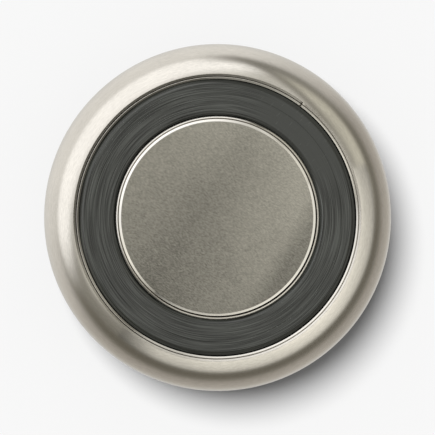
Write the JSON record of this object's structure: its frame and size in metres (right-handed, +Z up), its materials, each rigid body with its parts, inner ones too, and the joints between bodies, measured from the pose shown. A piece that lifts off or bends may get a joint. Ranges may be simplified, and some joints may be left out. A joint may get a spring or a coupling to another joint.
{
  "type": "dog bowl",
  "caption": "Round double-walled stainless steel pet bowl with a rolled rim, a bulging belly and a black silicone anti-slip ring let into its base.",
  "frame": {"origin": "centre of the silicone ring's underside, where the bowl meets the floor", "axes": "+Z up along the bowl's axis of revolution, towards its open mouth; X and Y are alike"},
  "size_m": [0.176, 0.176, 0.06],
  "materials": {
    "well_steel": "satin, turned",
    "shell_steel": "satin, brushed round the axis",
    "pan_steel": "polished",
    "disc_steel": "straight-grained brushing",
    "silicone": "matt, finely turned"
  },
  "bodies": {
    "bowl": {"inner_bowl": "well_steel", "outer_shell": "shell_steel", "base_pan": "pan_steel", "base_disc": "disc_steel"},
    "ring": {"anti_slip_ring": "silicone"}
  },
  "joints": [
    {"name": "ring_pull", "type": "slide", "parent": "bowl", "child": "ring", "axis": [0, 0, -1], "range_m": [0, 0.03]}
  ]
}
